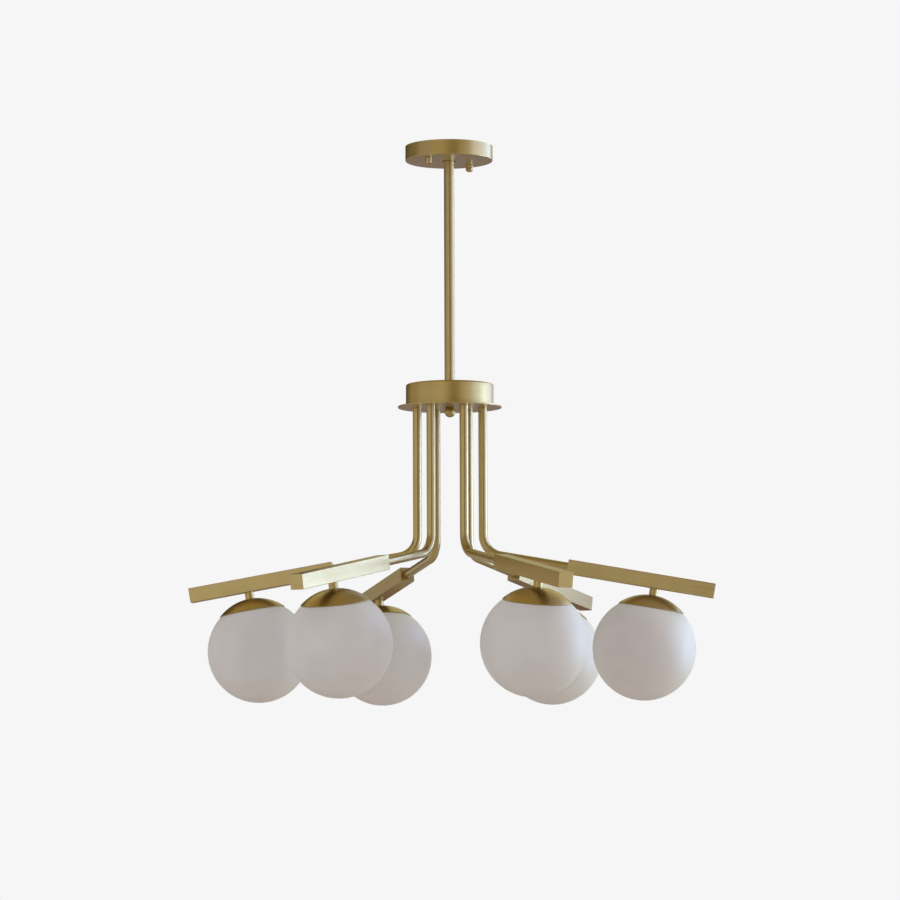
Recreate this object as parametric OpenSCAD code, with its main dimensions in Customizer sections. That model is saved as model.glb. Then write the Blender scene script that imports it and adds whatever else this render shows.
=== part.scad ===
// Branch chandelier: six square brass branches on bent tubes, each with a capped opal globe.
// Millimetres. The origin is on the ceiling, in the middle of the crossbar's top face. +Z points up,
// and the side seen in the photograph looks towards -Y.
// Angles in the plan are counted from +X, anticlockwise from above.

/* [Ceiling plate] */
// Distance between the two ceiling-box screw holes
box_screw_spacing = 69.85; // [60:0.05:78]
// Diameter of the ceiling-box screw holes
box_screw_hole_d = 5; // [4:0.1:6]
// Length of the crossbar
crossbar_l = 108; // [104:1:116]
// Width of the crossbar
crossbar_w = 20; // [14:0.5:24]
// Thickness of the crossbar
crossbar_t = 2; // [1.5:0.1:2.4]
// Outer diameter of the eye in the middle of the crossbar
crossbar_eye_d = 36; // [32:1:42]
// Diameter of the wire hole in the eye
crossbar_hole_d = 23; // [20:0.5:26]
// Direction of the crossbar in the plan
crossbar_turn = 48; // [0:1:180]
// Distance between the two canopy studs
stud_spacing = 88.9; // [85:0.1:96]
// Diameter of a stud
stud_d = 4.2; // [3:0.1:5]
// Length of stud below the canopy
stud_reach = 6; // [4:0.5:7]
// Width across the flats of a stud lock nut
stud_nut_w = 7; // [6:0.5:9]
// Height of a stud lock nut
stud_nut_h = 3; // [2:0.1:5]
// Distance of the earth screw from the middle of the crossbar
ground_screw_at = 26.5; // [25:0.5:28]
// Diameter of the earth screw
ground_screw_d = 4; // [3:0.1:5]
// Diameter of the earth screw's head
ground_head_d = 7.4; // [6:0.1:8]

/* [Canopy] */
// Diameter of the canopy
canopy_d = 127; // [120:1:150]
// Height of the canopy
canopy_h = 21.5; // [19:0.5:30]
// Thickness of the canopy's sheet
canopy_t = 1.2; // [0.8:0.1:1.6]
// Radius of the canopy's lower edge
canopy_edge_r = 1.4; // [0.5:0.1:3]
// Diameter of a thumb nut
thumb_nut_d = 11; // [8:0.5:14]
// Height of a thumb nut
thumb_nut_h = 10; // [9:0.5:16]

/* [Swivel] */
// Height of the swivel ball's centre above the canopy's lower face
swivel_up = 14; // [13:0.5:16]
// Radius of the swivel ball
ball_r = 12; // [11.5:0.25:13]
// Thickness of the seat ring around the ball
seat_t = 2; // [1.5:0.1:2.5]
// Wall of the swivel socket outside the seat ring
socket_wall = 4; // [2:0.5:8]
// Diameter of the hole in the canopy that the rod tilts in
rod_hole_d = 19; // [18.6:0.1:20]

/* [Rod] */
// Distance from the ceiling to the top of the hub
hub_drop = 348; // [200:1:900]
// Diameter of the rod
rod_d = 15; // [13.6:0.1:15.2]
// Wall of the rod
rod_t = 1.2; // [0.8:0.1:1.8]
// Length of thread inside each end of the rod
rod_thread_l = 20; // [10:1:40]
// Diameter of the threaded nipples
nipple_d = 10; // [9:0.5:11]
// Wire bore of the threaded nipples
nipple_bore = 7; // [5:0.5:7.5]
// Width across the flats of a rod lock nut
rod_nut_w = 14; // [13:0.5:16]
// Height of a rod lock nut
rod_nut_h = 3; // [2:0.1:3.2]

/* [Hub] */
// Diameter of the hub cup
hub_d = 127; // [120:1:150]
// Height of the hub cup
hub_h = 32; // [26:1:60]
// Thickness of the hub cup's sheet
hub_t = 1.2; // [0.8:0.1:2]
// Radius of the hub cup's upper edge
hub_edge_r = 3; // [1.5:0.1:6]
// Diameter of the hub plate
plate_d = 150; // [140:1:180]
// Thickness of the hub plate
plate_t = 2; // [1.5:0.1:4]
// Diameter of the ball finial
finial_d = 16; // [14:0.5:24]
// Height of the finial's centre below the hub plate
finial_down = 5.8; // [3:0.1:7]
// Angle of the first arm's hole in the plan
hub_turn = -5; // [-180:1:180]

/* [Arms] */
// Number of arms
arm_count = 6; // [3:1:6]
// Radius of the circle that the arm tubes stand on
tube_circle_r = 47.5; // [44:0.5:50]
// Turn of each arm away from straight outward
arm_turn = [-2, 2, -4, -1, 2, -1]; // degrees, one for each arm
// Diameter of an arm tube
tube_d = 12.7; // [11:0.1:14]
// Wall of an arm tube
tube_t = 1.2; // [0.8:0.1:1.8]
// Height of the straight upright part of an arm tube
tube_drop = 185; // [120:1:400]
// Radius of the tube's bend, to its centre line
bend_r = 30; // [20:1:45]
// Slope of the branches below level
branch_slope = 10; // [4:0.5:20]
// Length of sloping tube between the bend and the branch bar
tube_reach = 99.2; // [60:0.1:140]
// Length of tube inside the branch bar
tube_insert = 12; // [6:1:25]
// Length of thread on top of the tube
tube_thread_l = 14; // [10:1:22]
// Diameter of the thread on top of the tube
tube_thread_d = 10; // [8:0.5:10.5]
// Wire bore of the thread on top of the tube
tube_thread_bore = 7.6; // [5:0.1:7.8]
// Width across the flats of an arm nut
arm_nut_w = 16; // [14:0.5:17]
// Height of an arm nut
arm_nut_h = 5; // [3:0.5:8]
// Length of a branch bar
bar_l = 212; // [180:1:300]
// Width and height of a branch bar
bar_w = 21; // [17:0.5:24]
// Wall of a branch bar
bar_t = 1.5; // [1:0.1:2.5]
// Thickness of the bar's end plates
bar_end_t = 2; // [1:0.1:4]
// Radius of the bar's long edges
bar_edge_r = 0.8; // [0.2:0.1:1.4]

/* [Lamps] */
// Distance of the stem from the inner end of the bar
stem_at = 127; // [90:1:150]
// Diameter of a stem
stem_d = 12.7; // [11.5:0.1:15]
// Visible length of a stem
stem_l = 9.5; // [6:0.5:20]
// Length of thread at each end of the stem
stem_thread_l = 7; // [5:0.5:7.5]
// Diameter of the stem's threads
stem_thread_d = 10; // [8:0.5:10.5]
// Wire bore of the stem
stem_bore = 6; // [4:0.5:7]
// Diameter of a glass globe
globe_d = 148; // [140:1:170]
// Thickness of the glass
glass_t = 2.5; // [2:0.1:4]
// Diameter of the hole in the top of the globe
globe_hole_d = 40; // [36:1:46]
// Gap between the glass and the rim of the cap
cap_gap = 0.4; // [0.3:0.1:0.8]
// Room between the glass and the middle of the cap
cap_room = 2.4; // [2:0.1:4]
// Thickness of the cap
cap_t = 1; // [0.8:0.1:1.5]
// Inner diameter of the cap at its rim
cap_rim_d = 92; // [84:1:100]
// Thickness of the lamp holder's spring crown
crown_t = 1.2; // [0.8:0.1:1.5]
// Depth of the crown's spring fingers
crown_h = 13; // [12.5:0.5:16]
// Number of spring fingers
crown_fingers = 6; // [3:1:8]
// Width of the slots between the fingers
crown_slot_w = 3; // [1:0.5:5]
// Diameter of the ceramic lamp holder
holder_d = 22; // [20:0.5:26]
// Height of the ceramic lamp holder
holder_h = 26; // [20:0.5:30]
// Diameter of a bulb
bulb_d = 16; // [12:0.5:18]
// Length of a bulb
bulb_l = 42; // [30:1:50]
// Distance between a bulb's two pins
pin_spacing = 9; // [8:0.5:10]
// Diameter of a bulb's pin
pin_d = 1.4; // [1:0.1:2]
// Length of a bulb's pin
pin_l = 9; // [5:0.5:12]

/* [Fits] */
// Radial clearance of threads and turning fits
fit = 0.05; // [0.02:0.01:0.1]
// Gap between flat faces that turn or slide on each other
face_gap = 0.2; // [0.1:0.05:0.3]
// Radial gap between the crown's fingers and the globe's hole
grip_gap = 0.3; // [0.2:0.05:0.5]
// Radial gap of a loose hole round a screw, stud or tube
loose = 0.15; // [0.05:0.05:0.4]
// Radial gap round a bulb's pin
pin_gap = 0.2; // [0.1:0.05:0.3]

/* [Hidden] */
$fn = 72;
cut = 1;                                     // how far a cutting solid runs past the face it cuts

// Heights, all from the ceiling
canopy_z = -canopy_h;                        // lower face of the canopy
canopy_floor_z = canopy_z + canopy_t;
ball_z = canopy_z + swivel_up;               // centre of the swivel
ball_top_z = ball_z + 1;
ball_bottom_z = ball_z - sqrt(pow(ball_r, 2) - pow(rod_d / 2, 2));
seat_r = ball_r + fit + seat_t;              // outer radius of the seat ring
seat_top_z = ball_z - 2.5;
socket_top_z = ball_z - 3;
rod_top_z = ball_bottom_z - face_gap;
hub_z = -hub_drop;                           // top of the hub cup
plate_z = hub_z - hub_h;                     // upper face of the hub plate
plate_bottom_z = plate_z - plate_t;
finial_z = plate_bottom_z - finial_down;
finial_hole_h = 9;                           // depth of the finial's thread
rod_nut_z = ball_top_z + face_gap;
nipple_top_z = rod_nut_z + rod_nut_h + 0.6;
stud_top_z = -0.3;

// Arm, in its own frame: the upright tube on the Z axis, the branch towards +X
tube_r = tube_d / 2;
shoulder_z = plate_bottom_z - face_gap;
bend_z = plate_bottom_z - tube_drop;
bend_angle = 90 - branch_slope;
bend_end_x = bend_r * (1 - sin(branch_slope));
bend_end_z = bend_z - bend_r * cos(branch_slope);
bar_x = bend_end_x + tube_reach * cos(branch_slope);
bar_z = bend_end_z - tube_reach * sin(branch_slope);

// Lamp, in its own frame: the stem's axis on the Z axis, the bar's centre line at height 0
// The cap is rounder than the glass: its rim lies close to the glass and its middle stands clear.
cap_rim_r = cap_rim_d / 2;
cap_rim_up = sqrt(pow(globe_d / 2 + cap_gap, 2) - pow(cap_rim_r, 2)); // rim above the globe's centre
cap_inner_h = globe_d / 2 + cap_room - cap_rim_up;
cap_inner_r = (pow(cap_rim_r, 2) + pow(cap_inner_h, 2)) / (2 * cap_inner_h);
cap_outer_r = cap_inner_r + cap_t;
stem_foot_z = -bar_w / 2 - stem_l;
cap_centre_z = stem_foot_z - cap_outer_r;    // centre of the cap's round
cap_seat_z = cap_centre_z + sqrt(pow(cap_outer_r, 2) - pow(stem_d / 2, 2));
globe_z = stem_foot_z - cap_t - cap_room - globe_d / 2;
cap_rim_z = globe_z + cap_rim_up;
crown_r = globe_hole_d / 2 - grip_gap;
crown_top_z = cap_centre_z + sqrt(pow(cap_inner_r, 2) - pow(crown_r, 2)) - face_gap;
holder_z = crown_top_z - crown_t - holder_h; // lower face of the ceramic
bulb_top_z = holder_z - face_gap;

ARM_PARTS = ["arm_tube", "arm_bar", "stem", "cap", "lamp_holder", "bulb", "globe"];

// ---------------------------------------------------------------- shapes used more than once

// A round bore or pin, upright, from one height to another
module rod_between(r, low, high) {
    translate([0, 0, low]) cylinder(r = r, h = high - low);
}

// A hexagon nut with a round bore, standing on height z
module hex_nut(across, h, bore_r, z) {
    difference() {
        translate([0, 0, z]) cylinder(r = across / 2 / cos(30), h = h, $fn = 6);
        rod_between(bore_r, z - cut, z + h + cut);
    }
}

// Half outline of a round cup with one rounded lower corner, its foot on height 0
module cup_outline(r, h, edge_r) {
    square([r - edge_r, h]);
    translate([0, edge_r]) square([r, h - edge_r]);
    translate([r - edge_r, edge_r]) circle(edge_r);
}

// A thin spun cup, open at the top, with its foot on height 0
module spun_cup(r, h, sheet, edge_r) {
    inner_edge_r = max(edge_r - sheet, 0.2);
    rotate_extrude() difference() {
        cup_outline(r, h, edge_r);
        translate([0, sheet]) cup_outline(r - sheet, h, inner_edge_r);
    }
}

// A square with rounded corners, in the middle of the plane
module rounded_square(side, corner_r) {
    flat = side - 2 * corner_r;
    square([side, flat], center = true);
    square([flat, side], center = true);
    for (x = [-1, 1], y = [-1, 1]) translate([x * flat / 2, y * flat / 2]) circle(corner_r);
}

// The two places along the crossbar, a given distance apart
module at_crossbar_pair(spacing) {
    for (side = [-1, 1]) rotate(crossbar_turn) translate([side * spacing / 2, 0, 0]) children();
}

// ---------------------------------------------------------------- ceiling plate and canopy

// Steel strip with a wire eye, screwed to the ceiling box
module crossbar() {
    color("silver") difference() {
        translate([0, 0, -crossbar_t]) linear_extrude(crossbar_t) {
            rotate(crossbar_turn) square([crossbar_l - crossbar_w, crossbar_w], center = true);
            at_crossbar_pair(crossbar_l - crossbar_w) circle(d = crossbar_w);
            circle(d = crossbar_eye_d);
        }
        rod_between(crossbar_hole_d / 2, -crossbar_t - cut, cut);
        at_crossbar_pair(box_screw_spacing) rod_between(box_screw_hole_d / 2, -crossbar_t - cut, cut);
        at_crossbar_pair(stud_spacing) rod_between(stud_d / 2 + fit, -crossbar_t - cut, cut);
        rotate(crossbar_turn) translate([ground_screw_at, 0, 0])
            rod_between(ground_screw_d / 2 + fit, -crossbar_t - cut, cut);
    }
}

// Two threaded studs that carry the canopy
module canopy_studs() {
    color("silver") at_crossbar_pair(stud_spacing)
        rod_between(stud_d / 2, canopy_z - stud_reach, stud_top_z);
}

// Nuts that lock the studs in the crossbar
module stud_lock_nuts() {
    color("silver") at_crossbar_pair(stud_spacing)
        hex_nut(stud_nut_w, stud_nut_h, stud_d / 2 + fit, -crossbar_t - stud_nut_h);
}

// Earth screw in the crossbar, head downwards
module ground_screw() {
    head_h = 2.4;
    slot_w = 1;
    slot_h = 1;
    color("green") rotate(crossbar_turn) translate([ground_screw_at, 0, 0]) difference() {
        union() {
            rod_between(ground_screw_d / 2, -crossbar_t - cut, stud_top_z);
            rod_between(ground_head_d / 2, -crossbar_t - head_h, -crossbar_t);
        }
        translate([-ground_head_d, -slot_w / 2, -crossbar_t - head_h - cut])
            cube([2 * ground_head_d, slot_w, slot_h + cut]);
    }
}

// Shallow round cup against the ceiling, held by the two thumb nuts
module canopy() {
    color("darkgoldenrod") difference() {
        translate([0, 0, canopy_z]) spun_cup(canopy_d / 2, canopy_h, canopy_t, canopy_edge_r);
        rod_between(rod_hole_d / 2, canopy_z - cut, canopy_floor_z + cut);
        at_crossbar_pair(stud_spacing)
            rod_between(stud_d / 2 + loose, canopy_z - cut, canopy_floor_z + cut);
    }
}

// Round cap nut with a domed foot and a finger groove, under the canopy
module thumb_nut(side) {
    nut_r = thumb_nut_d / 2;
    top_z = canopy_z - face_gap;
    foot_z = top_z - thumb_nut_h;
    dome_h = 2.5;
    dome_r = (pow(nut_r, 2) + pow(dome_h, 2)) / (2 * dome_h);
    groove_r = 0.5;
    groove_z = foot_z + dome_h + 1.5;
    color("goldenrod") rotate(crossbar_turn) translate([side * stud_spacing / 2, 0, 0]) difference() {
        intersection() {
            rod_between(nut_r, foot_z, top_z);
            translate([0, 0, foot_z + dome_r]) sphere(dome_r);
        }
        rod_between(stud_d / 2 + fit, canopy_z - stud_reach - 1, top_z + cut);
        translate([0, 0, groove_z]) rotate_extrude() translate([nut_r, 0]) circle(groove_r);
    }
}

// ---------------------------------------------------------------- swivel inside the canopy

// Half outline between two balls round the swivel's centre, outside the rod's hole
module ball_layer(inner_r, outer_r, hole_r, top_z) {
    difference() {
        intersection() {
            translate([0, ball_z]) circle(outer_r);
            translate([hole_r, ball_z - outer_r]) square([outer_r, top_z - ball_z + outer_r]);
        }
        translate([0, ball_z]) circle(inner_r);
    }
}

// Steel ring on the canopy's floor with a round seat in it
module swivel_socket() {
    color("silver") rotate_extrude() difference() {
        translate([rod_hole_d / 2, canopy_floor_z])
            square([seat_r + fit + socket_wall - rod_hole_d / 2, socket_top_z - canopy_floor_z]);
        translate([0, ball_z]) circle(seat_r + fit);
    }
}

// Loose seat ring, round inside and out, that tilts in the socket
module swivel_ring() {
    color("gray") rotate_extrude() ball_layer(ball_r + fit, seat_r, rod_hole_d / 2 - loose, seat_top_z);
}

// Half ball that carries the rod and tilts in the seat ring
module swivel_ball() {
    color("silver") difference() {
        intersection() {
            translate([0, 0, ball_z]) sphere(ball_r);
            rod_between(ball_r + cut, ball_bottom_z, ball_top_z);
        }
        rod_between(nipple_d / 2 + fit, ball_bottom_z - cut, ball_top_z + cut);
    }
}

// ---------------------------------------------------------------- rod and hub

// Threaded tubes: one from the swivel into the rod, one from the rod through the hub to the finial
module rod_nipples() {
    color("silver") {
        threaded_tube(rod_top_z - rod_thread_l, nipple_top_z);
        threaded_tube(finial_z - finial_hole_h + finial_down + 1, hub_z + rod_thread_l);
    }
}

module threaded_tube(low, high) {
    difference() {
        rod_between(nipple_d / 2, low, high);
        rod_between(nipple_bore / 2, low - cut, high + cut);
    }
}

// Thin hexagon nuts: one on the swivel ball, one under the hub cup's top
module rod_lock_nuts() {
    color("silver") {
        hex_nut(rod_nut_w, rod_nut_h, nipple_d / 2 + fit, rod_nut_z);
        hex_nut(rod_nut_w, rod_nut_h, nipple_d / 2 + fit, hub_z - hub_t - rod_nut_h);
    }
}

// Brass tube from the canopy to the hub, threaded inside at both ends
module rod() {
    thread_r = nipple_d / 2 + fit;
    color("darkgoldenrod") difference() {
        rod_between(rod_d / 2, hub_z, rod_top_z);
        rod_between(thread_r, hub_z - cut, rod_top_z + cut);
        rod_between(rod_d / 2 - rod_t, hub_z + rod_thread_l + 1, rod_top_z - rod_thread_l - 1);
    }
}

// Spun cup over the arm nuts and wires, open below
module hub_cup() {
    color("darkgoldenrod") difference() {
        translate([0, 0, hub_z]) mirror([0, 0, 1]) spun_cup(hub_d / 2, hub_h, hub_t, hub_edge_r);
        rod_between(nipple_d / 2 + loose, hub_z - hub_t - cut, hub_z + cut);
    }
}

// Round plate that closes the cup and carries the six arm tubes
module hub_plate() {
    color("darkgoldenrod") difference() {
        rod_between(plate_d / 2, plate_bottom_z, plate_z);
        rod_between(nipple_d / 2 + loose, plate_bottom_z - cut, plate_z + cut);
        for (i = [1:arm_count])
            at_tube(i) rod_between(tube_thread_d / 2 + fit, plate_bottom_z - cut, plate_z + cut);
    }
}

// Nuts inside the hub that hang the arm tubes on the plate
module arm_nuts() {
    color("silver") for (i = [1:arm_count])
        at_tube(i) hex_nut(arm_nut_w, arm_nut_h, tube_thread_d / 2 + fit, plate_z);
}

// Ball that screws on the lower nipple and holds the hub together
module finial() {
    color("goldenrod") difference() {
        intersection() {
            translate([0, 0, finial_z]) sphere(d = finial_d);
            rod_between(finial_d, finial_z - finial_d, plate_bottom_z);
        }
        rod_between(nipple_d / 2 + fit, plate_bottom_z - finial_hole_h, plate_bottom_z + cut);
    }
}

// ---------------------------------------------------------------- places of the arms

// Angle of an arm's tube round the hub
function tube_angle(i) = hub_turn + (i - 1) * 360 / arm_count;

// Frame of an arm tube, not turned by the arm's own swing
module at_tube(i) {
    rotate(tube_angle(i)) translate([tube_circle_r, 0, 0]) children();
}

// Frame of a whole arm: upright tube on Z, branch towards +X
module at_arm(i) {
    at_tube(i) rotate(arm_turn[(i - 1) % len(arm_turn)]) children();
}

// Frame of a branch bar: its centre line along +X from its inner end
module at_bar() {
    translate([bar_x, 0, bar_z]) rotate([0, branch_slope, 0]) children();
}

// Frame of a lamp: the stem's axis on Z, the bar's centre line at height 0
module at_lamp() {
    at_bar() translate([stem_at, 0, 0]) children();
}

// ---------------------------------------------------------------- one arm

// Solid that follows the tube's centre line from a height down to the inside of the bar.
// The sloping stretch starts inside the bend and is a hair thinner, so that they make one solid.
module tube_path(r, top_z, past) {
    lap = 0.5;
    hair = 0.02;
    rod_between(r, bend_z, top_z);
    translate([bend_r, 0, bend_z]) rotate([90, 0, 0]) rotate(180)
        rotate_extrude(angle = bend_angle) translate([bend_r, 0]) circle(r);
    translate([bend_end_x, 0, bend_end_z]) rotate([0, 90 + branch_slope, 0])
        rod_between(r - hair, -lap, tube_reach + tube_insert + past);
}

// Bent tube, hung by its thread in the hub plate and let into the bar
module arm_tube() {
    step_z = shoulder_z - tube_t;
    color("darkgoldenrod") difference() {
        union() {
            tube_path(tube_r, shoulder_z, 0);
            rod_between(tube_thread_d / 2, shoulder_z - cut, plate_z + tube_thread_l);
        }
        tube_path(tube_r - tube_t, step_z, cut);
        rod_between(tube_thread_bore / 2, step_z - cut, plate_z + tube_thread_l + cut);
    }
}

// Square tube with closed ends; the arm tube enters one end and the stem the underside
module arm_bar() {
    color("tan") at_bar() difference() {
        rotate([90, 0, 90]) linear_extrude(bar_l) rounded_square(bar_w, bar_edge_r);
        translate([bar_end_t, bar_t - bar_w / 2, bar_t - bar_w / 2])
            cube([bar_l - 2 * bar_end_t, bar_w - 2 * bar_t, bar_w - 2 * bar_t]);
        rotate([0, 90, 0]) rod_between(tube_r + loose, -cut, bar_end_t + cut);
        translate([stem_at, 0, 0]) rod_between(stem_thread_d / 2 + fit, -bar_w / 2 - cut, 0);
    }
}

// Turned stem between the bar and the cap, with a thread at each end
module stem() {
    color("darkgoldenrod") at_lamp() difference() {
        union() {
            rod_between(stem_d / 2, cap_seat_z, -bar_w / 2);
            rod_between(stem_thread_d / 2, cap_seat_z - stem_thread_l, stem_thread_l - bar_w / 2);
        }
        rod_between(stem_bore / 2, cap_seat_z - stem_thread_l - cut, stem_thread_l - bar_w / 2 + cut);
    }
}

// Domed cap over the top of the globe, with a flat seat for the stem
module cap() {
    color("darkgoldenrod") at_lamp() difference() {
        rotate_extrude() difference() {
            intersection() {
                translate([0, cap_centre_z]) circle(cap_outer_r);
                translate([0, cap_rim_z]) square([cap_outer_r, cap_outer_r]);
            }
            translate([0, cap_centre_z]) circle(cap_inner_r);
        }
        rod_between(stem_thread_d / 2 + fit, cap_seat_z - stem_thread_l, stem_foot_z + cut);
        rod_between(stem_d / 2 + loose, cap_seat_z, stem_foot_z + cut);
    }
}

// Ceramic lamp holder under a steel crown whose fingers grip the hole in the glass
module lamp_holder() {
    low_z = crown_top_z - crown_h;
    thread_foot_z = cap_seat_z - stem_thread_l - 1;
    color("whitesmoke") at_lamp() difference() {
        union() {
            rod_between(crown_r, low_z, crown_top_z);
            rod_between(holder_d / 2, holder_z, crown_top_z);
        }
        difference() {
            rod_between(crown_r - crown_t, low_z - cut, crown_top_z - crown_t);
            rod_between(holder_d / 2, low_z - 2 * cut, crown_top_z);
        }
        for (k = [0:crown_fingers - 1]) rotate(k * 360 / crown_fingers)
            translate([crown_r - 2 * crown_t, -crown_slot_w / 2, low_z - cut])
                cube([3 * crown_t, crown_slot_w, crown_h - crown_t]);
        rod_between(stem_thread_d / 2 + fit, thread_foot_z, crown_top_z + cut);
        for (x = [-1, 1]) translate([x * pin_spacing / 2, 0, 0])
            rod_between(pin_d / 2 + pin_gap, holder_z - cut, holder_z + pin_l);
    }
}

// Capsule bulb with two pins
module bulb() {
    bulb_r = bulb_d / 2;
    color("white") at_lamp() {
        rod_between(bulb_r, bulb_top_z - bulb_l + bulb_r, bulb_top_z);
        translate([0, 0, bulb_top_z - bulb_l + bulb_r]) sphere(bulb_r);
        for (x = [-1, 1]) translate([x * pin_spacing / 2, 0, 0])
            rod_between(pin_d / 2, bulb_top_z - cut, bulb_top_z + pin_l);
    }
}

// Frosted opal glass globe with a round hole in its top
module globe() {
    color("mistyrose") at_lamp() translate([0, 0, globe_z]) difference() {
        sphere(d = globe_d);
        sphere(d = globe_d - 2 * glass_t);
        rod_between(globe_hole_d / 2, 0, globe_d);
    }
}

// ---------------------------------------------------------------- the chandelier

crossbar();
canopy_studs();
stud_lock_nuts();
ground_screw();
canopy();
thumb_nut(-1);  // thumb_nut_left
thumb_nut(1);  // thumb_nut_right
swivel_socket();
swivel_ring();
swivel_ball();
rod_nipples();
rod_lock_nuts();
rod();
hub_cup();
hub_plate();
arm_nuts();
finial();
for (i = [1:arm_count]) at_arm(i) {
    arm_tube();
    arm_bar();
    stem();
    cap();
    lamp_holder();
    bulb();
    globe();
}
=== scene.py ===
# Branch chandelier, dressed: satin brass spun, drawn and turned parts with six etched opal globes.
# Metres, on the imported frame. The ceiling is at height 0, and the side in the photograph looks towards -Y.
# The sections follow the lamp as it is put together, from the ceiling down.
import math
import bpy
from mathutils import Matrix, Vector


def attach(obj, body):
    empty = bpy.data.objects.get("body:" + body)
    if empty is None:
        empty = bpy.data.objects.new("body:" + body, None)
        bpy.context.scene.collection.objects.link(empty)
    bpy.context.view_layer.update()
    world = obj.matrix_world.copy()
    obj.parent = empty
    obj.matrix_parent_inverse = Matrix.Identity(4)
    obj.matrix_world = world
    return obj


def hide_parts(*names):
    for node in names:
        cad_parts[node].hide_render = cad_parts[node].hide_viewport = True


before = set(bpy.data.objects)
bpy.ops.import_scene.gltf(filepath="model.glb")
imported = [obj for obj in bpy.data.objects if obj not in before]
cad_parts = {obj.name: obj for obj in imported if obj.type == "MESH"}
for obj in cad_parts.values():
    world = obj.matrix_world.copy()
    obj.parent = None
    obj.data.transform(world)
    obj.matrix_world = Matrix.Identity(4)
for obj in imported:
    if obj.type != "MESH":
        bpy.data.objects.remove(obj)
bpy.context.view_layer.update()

# ---------------------------------------------------------------- ceiling strip
# A pressed steel strip screwed to the ceiling box, with two long studs and the nuts that lock them.
# Zinc-plated mild steel. The plating is done in a barrel, so it is cool grey with soft dull blotches.

MM = 0.001

# A Mix node has a pair of inputs for each kind of value. These are its two colours, and the output for them.
COLOUR_A = 6
COLOUR_B = 7
MIXED = 2


def linear(code):
    """An sRGB hex colour as the linear red, green, blue and alpha that Blender's sockets take."""
    levels = [int(code[k:k + 2], 16) / 255 for k in (1, 3, 5)]
    return [c / 12.92 if c <= 0.04045 else ((c + 0.055) / 1.055) ** 2.4 for c in levels] + [1.0]


def add(tree, kind, inputs=None, **settings):
    """Adds a shader node with its settings. Each input is a value, or the output that feeds it."""
    made = tree.nodes.new("ShaderNode" + kind)
    for name, value in settings.items():
        setattr(made, name, value)
    for socket, value in (inputs or {}).items():
        if isinstance(value, bpy.types.NodeSocket):
            tree.links.new(value, made.inputs[socket])
        else:
            made.inputs[socket].default_value = value
    return made


def blank_material(name):
    """A new material and its empty node tree."""
    material = bpy.data.materials.new(name)
    material.use_nodes = True
    material.node_tree.nodes.clear()
    return material, material.node_tree


def paint_nodes(names, material):
    """Gives CAD nodes a finish through their own material slots."""
    for name in names:
        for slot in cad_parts[name].material_slots:
            slot.material = material


# Barrel zinc plating: blotches about 4 mm wide change its tone and gloss, and it glints in broad soft spots.
zinc_plate, tree = blank_material("zinc_plated_steel")
place = add(tree, "TexCoord").outputs["Object"]
blotch = add(tree, "TexNoise", {"Vector": place, "Scale": 1 / (4 * MM), "Detail": 3.0, "Roughness": 0.6})
tone = add(tree, "Mix", {"Factor": blotch.outputs["Fac"], COLOUR_A: linear("#9DA1A4"),
                         COLOUR_B: linear("#C6CACB")}, data_type="RGBA")
dullness = add(tree, "MapRange", {"Value": blotch.outputs["Fac"], "To Min": 0.28, "To Max": 0.46})
grit = add(tree, "TexNoise", {"Vector": place, "Scale": 1 / (0.5 * MM), "Detail": 2.0})
relief = add(tree, "Bump", {"Height": grit.outputs["Fac"], "Strength": 0.12, "Distance": 0.05 * MM})
steel = add(tree, "BsdfPrincipled", {"Base Color": tone.outputs[MIXED], "Metallic": 1.0,
                                     "Roughness": dullness.outputs["Result"],
                                     "Normal": relief.outputs["Normal"]})
add(tree, "OutputMaterial", {"Surface": steel.outputs["BSDF"]})
paint_nodes(["crossbar", "canopy_studs", "stud_lock_nuts"], zinc_plate)

# The earth screw beside them: steel dipped in green lacquer, glossy, and darker in patches where it pooled.
green_lacquer, tree = blank_material("green_lacquered_steel")
place = add(tree, "TexCoord").outputs["Object"]
pooling = add(tree, "TexNoise", {"Vector": place, "Scale": 1 / (1.5 * MM), "Detail": 2.0})
tone = add(tree, "Mix", {"Factor": pooling.outputs["Fac"], COLOUR_A: linear("#1F5A2C"),
                         COLOUR_B: linear("#3B8048")}, data_type="RGBA")
lacquer = add(tree, "BsdfPrincipled", {"Base Color": tone.outputs[MIXED], "Metallic": 0.3, "Roughness": 0.35,
                                       "Coat Weight": 0.8, "Coat Roughness": 0.12})
add(tree, "OutputMaterial", {"Surface": lacquer.outputs["BSDF"]})
paint_nodes(["ground_screw"], green_lacquer)

# ---------------------------------------------------------------- canopy
# The shallow round cup against the ceiling, spun from brass sheet and brushed on the lathe.
# It has a wide hole for the tilting rod, and two small ones for the studs.

CANOPY_R = 63.5 * MM
CANOPY_H = 21.5 * MM
CANOPY_SHEET = 1.2 * MM
CANOPY_ROUND = 1.4 * MM
ROD_HOLE_R = 9.5 * MM
STUD_AT = 44.45 * MM
STUD_HOLE_R = 2.25 * MM
STRIP_TURN = math.radians(48)

# How near a point lies to a place to count as on it, how flat a face lies to count as level, and how much
# a surface bends at an edge to count as sharp.
HAIR = 0.01 * MM
LEVEL = 0.9
SHARP = math.radians(35)


def every_face(middle, normal):
    """Wants every face."""
    return True


def faces_up(middle, normal):
    """Wants the level faces that look up."""
    return normal.z > LEVEL


def faces_down(middle, normal):
    """Wants the level faces that look down."""
    return normal.z < -LEVEL


def pick_faces(piece, wanted):
    """Selects the faces of a piece whose middle and normal are wanted, and leaves it in edit mode."""
    bpy.ops.object.mode_set(mode="OBJECT")
    bpy.context.tool_settings.mesh_select_mode = (False, False, True)
    for face in piece.data.polygons:
        face.select = wanted(face.center, face.normal)
    bpy.ops.object.mode_set(mode="EDIT")


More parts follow.
